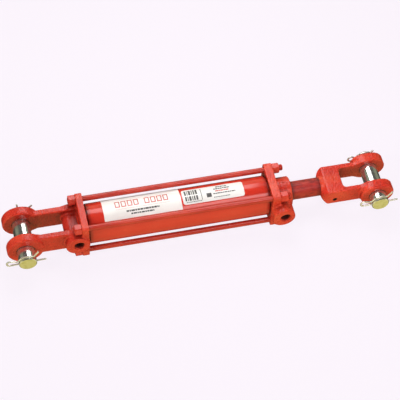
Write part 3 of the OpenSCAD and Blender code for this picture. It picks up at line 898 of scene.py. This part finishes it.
def patch(x0, x1, a0, a1, inner, outer, corner=0.0):
    """Thin curved patch with rounded corners between two radii; angles in degrees from the top towards -Y."""
    a0, a1 = math.radians(a0), math.radians(a1)
    steps = max(1, int((a1 - a0) / math.radians(3)))
    turn = corner / outer
    curve = [turn * (1 - math.cos(t)) for t in np.linspace(0, math.pi / 2, 7)]
    plain = {a for a in np.linspace(a0, a1, steps + 1) if a0 + turn < a < a1 - turn}
    rows = []
    for a in sorted({a0 + b for b in curve} | {a1 - b for b in curve} | plain):
        near = min(a - a0, a1 - a, turn) * outer
        inset = corner - math.sqrt(max(corner ** 2 - (corner - near) ** 2, 0))
        rows.append([on_barrel(x0 + inset, a, outer), on_barrel(x1 - inset, a, outer),
                     on_barrel(x1 - inset, a, inner), on_barrel(x0 + inset, a, inner)])
    verts = np.array(rows).reshape(-1, 3)
    faces = grid_faces(len(rows), 4)
    last = 4 * (len(rows) - 1)
    faces += [(3, 2, 1, 0), (last, last + 1, last + 2, last + 3)]
    return outward(verts, faces)


FILM, BLACK, RED_LINE = 0, 1, 2


class Label:
    """Film on the barrel with printed bars, placed by shares of its length and of its height."""

    def __init__(self, node, film, corner):
        self.node, self.film = node, film
        self.x0, self.x1 = low(node)[0], high(node)[0]
        radius = BARREL_R + 0.15 * MM
        self.a0 = -math.degrees(math.asin(min(1, high(node)[1] / radius)))
        self.a1 = math.degrees(math.asin(min(1, -low(node)[1] / radius)))
        base = patch(self.x0, self.x1, self.a0, self.a1, BARREL_R + 0.01 * MM, radius, corner)
        self.parts = [(base, FILM)]
        self.ink_r = (radius, radius + 0.03 * MM)

    def bar(self, u0, u1, v0, v1, colour):
        """Printed bar; u runs along the label and v down it."""
        x0, x1 = (self.x0 + (self.x1 - self.x0) * u for u in (u0, u1))
        a0, a1 = (self.a0 + (self.a1 - self.a0) * v for v in (v0, v1))
        self.parts.append((patch(x0, x1, a0, a1, *self.ink_r), colour))

    def frame(self, u0, u1, v0, v1, line_u, line_v, colour):
        """Printed outline of a rectangle."""
        self.bar(u0, u1, v0, v0 + line_v, colour)
        self.bar(u0, u1, v1 - line_v, v1, colour)
        self.bar(u0, u0 + line_u, v0 + line_v, v1 - line_v, colour)
        self.bar(u1 - line_u, u1, v0 + line_v, v1 - line_v, colour)

    def dashes(self, u0, u1, v0, v1, widths, colour):
        """A line of bars whose widths repeat in the given order, with even gaps."""
        gap, u, k = 0.006, u0, 0
        while u < u1:
            end = min(u + widths[k % len(widths)], u1)
            self.bar(u, end, v0, v1, colour)
            u, k = end + gap, k + 1

    def make(self, name):
        """Adds the film and its bars as one piece."""
        verts, faces = joined([part for part, _ in self.parts])
        slots = [colour for (_, part_faces), colour in self.parts for _ in part_faces]
        materials = [self.film, BLACK_INK, RED_INK]
        add_piece(name, verts, faces, materials, "cylinder", "decal", [self.node], slots)


def name_label():
    """Large label: two groups of tall outlined panels, a fine dotted rule and two rows of dashes."""
    label = Label("name_decal", NAME_FILM, 0.0)
    wide, gap = 0.062, 0.018
    for start in (0.16, 0.54):
        for k in range(4):
            u = start + k * (wide + gap)
            label.frame(u, u + wide, 0.38, 0.62, 0.011, 0.032, RED_LINE)
    label.dashes(0.16, 0.86, 0.682, 0.692, [0.008], RED_LINE)
    label.dashes(0.29, 0.715, 0.755, 0.808, [0.034, 0.016, 0.046, 0.022, 0.030], BLACK)
    label.dashes(0.345, 0.64, 0.850, 0.895, [0.026, 0.040, 0.018], BLACK)
    label.make("name_decal_film")


def data_label():
    """Small label: two blocks of upright bars at the left, rules and short dashes at the right."""
    label = Label("data_decal", DATA_FILM, 3.5 * MM)
    widths = (0.026, 0.012, 0.034, 0.014, 0.022, 0.030)
    for v0, v1 in ((0.11, 0.45), (0.52, 0.80)):
        u, k = 0.04, 0
        while u < 0.25:
            label.bar(u, u + widths[k % 6], v0, v1, BLACK)
            u, k = u + widths[k % 6] + 0.014, k + 1
    label.dashes(0.05, 0.30, 0.86, 0.90, [0.030, 0.014], BLACK)
    label.bar(0.305, 0.315, 0.10, 0.84, BLACK)
    label.bar(0.39, 0.47, 0.50, 0.76, BLACK)
    label.dashes(0.56, 0.74, 0.10, 0.18, [0.040, 0.020], BLACK)
    label.dashes(0.52, 0.78, 0.25, 0.33, [0.024, 0.036], BLACK)
    label.dashes(0.54, 0.76, 0.40, 0.48, [0.050, 0.022], RED_LINE)
    label.dashes(0.50, 0.86, 0.56, 0.63, [0.034, 0.020, 0.044], BLACK)
    label.dashes(0.50, 0.76, 0.79, 0.84, [0.016, 0.010], BLACK)
    label.make("data_decal_film")


name_label()
data_label()

# -------- piston rod


def piston_rod():
    """Chromed rod with its paint starting at the wiper, stepped ends hidden in the piston and the clevis."""
    x0, x1 = low("piston_rod")[0], high("piston_rod")[0]
    shoulder, paint_x = high("piston")[0] + 0.05 * MM, high("rod_wiper")[0]
    profile = soften([(x0, 0.5 * MM), (x0, PISTON_SEAT_R), (shoulder, PISTON_SEAT_R), (shoulder, ROD_R),
                      (CLEVIS_X0, ROD_R), (CLEVIS_X0, ROD_NECK_R), (x1, ROD_NECK_R), (x1, 0.5 * MM)],
                     0.8 * MM)
    at = next(i for i, (x, r) in enumerate(profile) if x > paint_x and r > 0.999 * ROD_R)
    profile.insert(at, np.array([paint_x, ROD_R]))
    verts, faces = capped_mesh([ring_points(x, r, 96) for x, r in profile])
    slots = [1 if verts[list(f)][:, 0].mean() > paint_x else 0 for f in faces]
    add_piece("piston_rod_bar", verts, faces, [CHROME, ROD_RED], "rod", "red_paint", ["piston_rod"], slots)


piston_rod()

# -------- pins and clips


def cutter(direction, at, radius):
    """Cylinder mesh through the pin for a clip hole along X or Z."""
    rows = [ring_points(x, radius, 32) for x in (-20 * MM, 20 * MM)]
    verts, faces = capped_mesh(rows)
    if direction == "Z":
        verts, faces = outward(verts[:, ::-1], faces)
    return verts + np.array([0, at, 0]), faces


def clevis_pin(name, node, body, holes):
    """Plain pin with chamfered ends and cross holes, each (direction, place along the pin)."""
    centre, end, chamfer = middle(node), half_size(node)[1], 1.1 * MM
    profile = soften([(-end, 0.4 * MM), (-end, PIN_R - chamfer), (-end + chamfer, PIN_R),
                      (end - chamfer, PIN_R), (end, PIN_R - chamfer), (end, 0.4 * MM)], 0.35 * MM, 3)
    verts, faces = capped_mesh([ring_points(x, r, 128) for x, r in profile])
    verts = np.stack([-verts[:, 1], verts[:, 0], verts[:, 2]], 1) @ PIN_TILT.T + centre
    pin = add_piece(name, *outward(verts, faces), [ZINC, PIN_END], body, "zinc_pin", [node])
    for direction, at in holes:
        verts, faces = cutter(direction, at, WIRE_R + 0.3 * MM)
        tool = mesh_object("cutter", verts @ PIN_TILT.T + centre, faces)
        cut = pin.modifiers.new("hole", "BOOLEAN")
        cut.operation, cut.solver, cut.object = "DIFFERENCE", "EXACT", tool
        shown = pin.evaluated_get(bpy.context.evaluated_depsgraph_get())
        pin.data = bpy.data.meshes.new_from_object(shown)
        pin.modifiers.clear()
        bpy.data.objects.remove(tool)
    shade_pin(pin, centre, end)


def shade_pin(pin, centre, end):
    """Normals of a true cylinder on the shank, and the yellow end faces."""
    mesh = pin.data
    normals = []
    for face in mesh.polygons:
        flat = abs(face.normal[1])
        spokes = [mesh.vertices[v].co - Vector(centre) for v in face.vertices]
        outer = all(abs(math.hypot(spoke[0], spoke[2]) - PIN_R) < 0.02 * MM for spoke in spokes)
        at_end = abs(abs(face.center[1] - centre[1]) - end) < 0.2 * MM
        face.material_index = 1 if flat > 0.95 and at_end else 0
        for spoke in spokes:
            radial = Vector((spoke[0], 0, spoke[2])).normalized()
            normals.append(radial if outer and flat < 0.2 else face.normal.copy())
    mesh.shade_smooth()
    mesh.normals_split_custom_set(normals)


def polar(radius, angle):
    """A point of the XZ plane at an angle in degrees."""
    return radius * np.array([math.cos(math.radians(angle)), math.sin(math.radians(angle))])


def arc(centre, radius, start, end, steps):
    """Points of an arc in the XZ plane, angles in degrees."""
    return [centre + polar(radius, a) for a in np.linspace(start, end, steps + 1)]


def hairpin_path(eye_x, tip_x, flare_long):
    """Centreline of a hairpin clip: straight leg, eye, then the leg that hugs the pin and flares."""
    hug = PIN_R + WIRE_R + 0.25 * MM
    eye_r = 4.6 * MM
    eye = np.array([eye_x, eye_r])
    out, turn, lift = eye + polar(eye_r, 70), polar(hug, 157.8), polar(hug, 50)
    flare = np.array([0.64, 0.77])
    straight = [np.array([x, 0.0]) for x in np.linspace(tip_x, eye_x + 1.5 * MM, 12)]
    return (straight + arc(eye, eye_r, 270, 70, 28)
            + bend(turn + 0.3 * (out - turn), turn, polar(hug, 146), 10) + arc(0, hug, 140, 64, 18)
            + bend(polar(hug, 60), lift, lift + 2.6 * MM * flare, 8)
            + [lift + k * flare for k in np.linspace(3.4 * MM, flare_long, 5)])


def wire_mesh(path, radius, columns=16):
    """Round wire along a path in the XZ plane, with rounded ends."""
    path = [np.array([p[0], 0.0, p[1]]) for p in path]
    angle = round_angles(columns)
    last = len(path) - 1
    domes = {0: (-0.96, -0.75, -0.4, 0), last: (0, 0.4, 0.75, 0.96)}
    rows = []
    for i, point in enumerate(path):
        ahead = path[min(i + 1, last)] - path[max(i - 1, 0)]
        ahead /= np.linalg.norm(ahead)
        side = np.array([-ahead[2], 0, ahead[0]])
        ring = np.outer(np.cos(angle), side) + np.outer(np.sin(angle), [0, 1, 0])
        for along in domes.get(i, (0,)):
            rows.append(point + ahead * along * radius + ring * radius * math.sqrt(1 - along * along))
    return capped_mesh(rows)


def clip(name, node, pin_node, body, upright=False, shape=(-24.5, 25.3, 12)):
    """Hairpin clip at one end of a pin, its shape in mm; upright turns its straight leg up."""
    verts, faces = wire_mesh(hairpin_path(*(v * MM for v in shape)), WIRE_R)
    if upright:
        verts = np.stack([-verts[:, 0], -verts[:, 1], verts[:, 2]], 1)
        verts = np.stack([verts[:, 2], verts[:, 1], -verts[:, 0]], 1)
    centre = middle(pin_node)
    centre[1] = middle(node)[1]
    placed = outward(verts @ PIN_TILT.T + centre, faces)
    add_piece(name, *placed, [WIRE_ZINC], body, "clip_wire", [node], sharp=60)


clip_at = (low("rod_clip_far")[1] - low("rod_clip_near")[1]) / 2
clevis_pin("base_pin_bar", "base_pin", "base_pin_set", (("X", -clip_at), ("Z", clip_at)))
clevis_pin("rod_pin_bar", "rod_pin", "rod_pin_set", (("X", -clip_at), ("X", clip_at)))
clip("base_clip_near_wire", "base_clip_near", "base_pin", "base_pin_set")
clip("base_clip_far_wire", "base_clip_far", "base_pin", "base_pin_set", upright=True)
clip("rod_clip_near_wire", "rod_clip_near", "rod_pin", "rod_pin_set")
clip("rod_clip_far_wire", "rod_clip_far", "rod_pin", "rod_pin_set", shape=(-20.5, 18, 5))

# -------- CAD nodes that stay

for material, kept in (
        (RUBBER, ("cap_oring", "head_oring", "piston_oring", "rod_seal", "rod_wiper", "piston_seal")),
        (PTFE, ("cap_backup_ring", "head_backup_ring")), (FIBRE, ("piston_wear_ring",)),
        (BRONZE, ("rod_bushing",)), (STEEL, ("piston", "piston_nut")), (OXIDE, ("clevis_set_screw",))):
    for node in kept:
        frame["nodes"][node].data.materials.clear()
        frame["nodes"][node].data.materials.append(material)

# -------- stage, lights and camera

MIDDLE = (0.26, 0.0, 0.0)
FLOOR_COLOUR = (0.965, 0.905, 0.973)
FLOOR_GLOW, FLOOR_PAINT = 0.93, 0.07
WARM, PALE, DIM = (0.88, 0.78, 0.36), (0.72, 0.78, 0.52), (0.05, 0.045, 0.04)
WORLD_NEAR = ((-0.85, (0.50, 0.42, 0.20)), (-0.35, WARM), (0.08, WARM), (0.30, DIM))
WORLD_FAR = ((-0.20, (0.10, 0.10, 0.07)), (0.05, PALE), (0.48, PALE), (0.70, DIM))
WORLD_ENDS = ((0.36, (1.0, 1.0, 1.0)), (0.56, (0.30, 0.30, 0.30)))
WORLD_FAR_WAY = (0.1, 0.995, 0.0)


def sweep_material():
    """Pale paper: mostly an even glow, with a small share of plain diffuse."""
    p = Paint("pale_paper", 0.9)
    p.shader.inputs["Specular IOR Level"].default_value = 0.0
    p.colour(p.ramp(p.noise(0.8, 2.0), [(0.3, tuple(FLOOR_PAINT * c for c in FLOOR_COLOUR)),
                                       (0.7, tuple(1.01 * FLOOR_PAINT * c for c in FLOOR_COLOUR))]))
    p.shader.inputs["Emission Color"].default_value = (*FLOOR_COLOUR, 1)
    p.shader.inputs["Emission Strength"].default_value = FLOOR_GLOW
    return p.material


def sweep():
    """Pale floor under the flanges that curves up into a wall all round, far from the cylinder."""
    z, columns = CAD_BOX[0][2] - 0.2 * MM, 96
    profile = [(0.001, 0), (2.0, 0), (6.0, 0)] + [(6 + 3 * math.sin(t), 3 - 3 * math.cos(t))
                                                  for t in np.linspace(0.1, math.pi / 2, 14)] + [(9.0, 9.0)]
    rows = [np.roll(ring_points(h, r, columns), 2, axis=1) for r, h in profile]
    verts = np.concatenate(rows) + np.array([MIDDLE[0], 0, z])
    ground = mesh_object("sweep", verts, grid_faces(len(rows), columns))
    ground.data.shade_smooth()
    ground.data.materials.append(sweep_material())
    ground.visible_glossy = ground.visible_diffuse = ground.visible_shadow = False


def softbox(name, centre, target, size, power, diffuse_only=False):
    """Rectangular light that looks at a point; its size is along X and across, its power a radiance."""
    lamp = bpy.data.lights.new(name, "AREA")
    lamp.shape, lamp.size, lamp.size_y = "RECTANGLE", size[0], size[1]
    lamp.energy = power * math.pi * size[0] * size[1]
    light = scene_object(name, lamp)
    light.visible_camera = False
    light.visible_glossy = not diffuse_only
    light.location = centre
    light.rotation_mode = "QUATERNION"
    aim = (Vector(target) - Vector(centre)).normalized()
    up = aim.cross(Vector((1, 0, 0))).normalized()
    side = up.cross(-aim).normalized()
    light.rotation_quaternion = Matrix((side, up, -aim)).transposed().to_quaternion()


def from_top(angle, distance, x):
    """A place over the object at an angle from straight up towards -Y, in degrees."""
    a = math.radians(angle)
    return (x, -distance * math.sin(a), distance * math.cos(a))


def world_light():
    """Warm light from low on the near side, paler and higher on the far side, and a dim ceiling."""
    world = bpy.data.worlds.new("studio")
    world.use_nodes = True
    bpy.context.scene.world = world
    n = Nodes(world.node_tree, "Generated")

    def over(value, lowest, stops):
        """Colours over one part of the direction, which goes from lowest to 1."""
        return n.ramp(n.spread(value, lowest, 1.0), [((at - lowest) / (1 - lowest), c) for at, c in stops])

    facing = n.add("VectorMath")
    facing.operation = "DOT_PRODUCT"
    facing.inputs[1].default_value = WORLD_FAR_WAY
    n.feed(facing.inputs[0], n.place)
    ends = over(n.math("ABSOLUTE", n.axis("X")), 0.0, WORLD_ENDS)
    far = n.mix(1.0, over(n.axis("Z"), -1.0, WORLD_FAR), ends, "MULTIPLY")
    share = n.spread(facing.outputs["Value"], -0.25, 0.25)
    both = n.mix(share, over(n.axis("Z"), -1.0, WORLD_NEAR), far)
    n.feed(n.tree.nodes["Background"].inputs["Color"], both)


def camera():
    """Camera looking down at the base end and the near side."""
    data = bpy.data.cameras.new("camera")
    data.lens, data.sensor_width = 135.0, 36.0
    data.clip_start, data.clip_end = 0.05, 100.0
    eye = scene_object("camera", data)
    right_up_back = Matrix(((0.97378, -0.22302, 0.04493), (0.15603, 0.79842, 0.58153),
                            (-0.16557, -0.55927, 0.81228)))
    turn = right_up_back.transposed().to_4x4()
    eye.matrix_world = Matrix.Translation((-0.09885, -1.19935, 1.75551)) @ turn
    bpy.context.scene.camera = eye


bpy.context.scene.view_settings.view_transform = "Standard"
sweep()
world_light()
softbox("softbox_back", from_top(-32, 0.62, 0.30), (0.30, 0, 0), (0.46, 0.30), 4.2)
softbox("softbox_front", from_top(33, 0.65, 0.46), (0.46, 0, 0), (0.55, 0.18), 4.5)
softbox("fill_left", (-1.2, -0.5, 1.0), MIDDLE, (0.8, 0.8), 8.5, diffuse_only=True)
softbox("fill_low", (0.0, -1.7, 0.24), MIDDLE, (1.2, 0.4), 3.4, diffuse_only=True)
softbox("fill_right", (1.7, -0.8, 0.4), MIDDLE, (0.6, 0.6), 6.0, diffuse_only=True)
softbox("fill_back", (0.30, 0.9, 1.3), MIDDLE, (1.0, 1.0), 3.0, diffuse_only=True)
camera()
